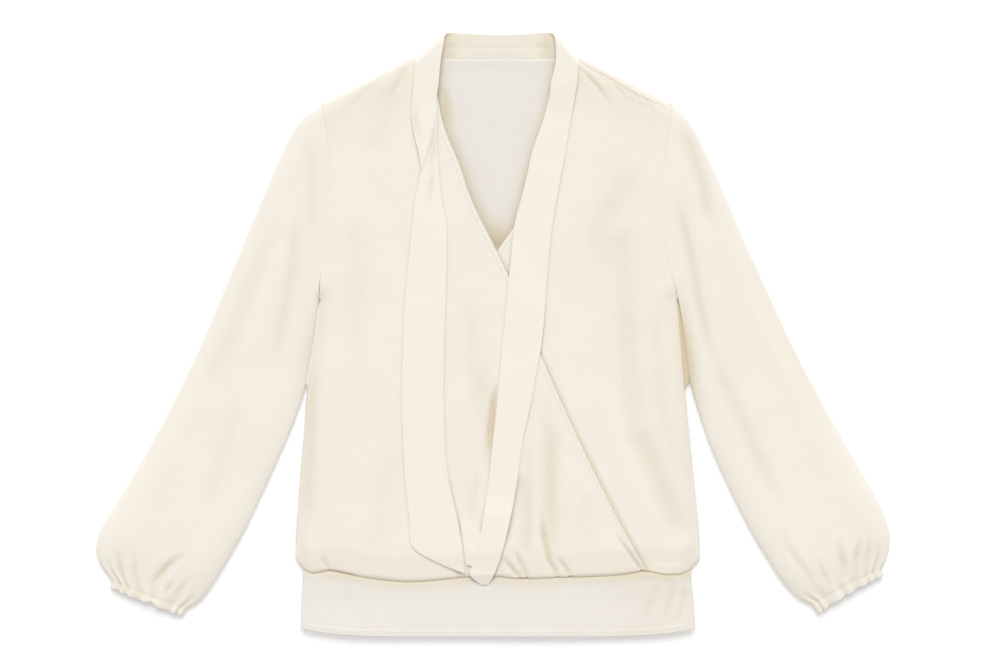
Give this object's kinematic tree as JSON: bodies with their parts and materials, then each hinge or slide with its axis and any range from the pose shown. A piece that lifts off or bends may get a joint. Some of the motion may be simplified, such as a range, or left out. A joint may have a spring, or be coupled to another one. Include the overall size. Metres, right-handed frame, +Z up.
{
  "type": "wrap-front blouse with scarf ties, laid flat",
  "caption": "Long-sleeved crepe blouse laid flat: wrap V neck, neck band running into two long scarf ties, rolled front edge, longer back tail and gathered elastic cuffs",
  "frame": {"origin": "underside of the back panel, on the centre line, where the blouse rests on the surface", "axes": "+Z up from the surface, +X to the wearer's left, +Y from hem to neck"},
  "size_m": [0.954, 0.7242, 0.0223],
  "materials": {
    "crepe": "matt cream crepe, single cloth",
    "crepe_double": "matt cream crepe, folded double"
  },
  "bodies": {
    "root": {"back": "crepe", "front_right": "crepe", "front_left": "crepe", "sleeve_right": "crepe", "sleeve_left": "crepe", "cuff_right": "crepe", "cuff_left": "crepe", "neck_band": "crepe_double", "tie_right": "crepe_double", "tie_left": "crepe_double", "tie_loop": "crepe_double"}
  },
  "joints": []
}
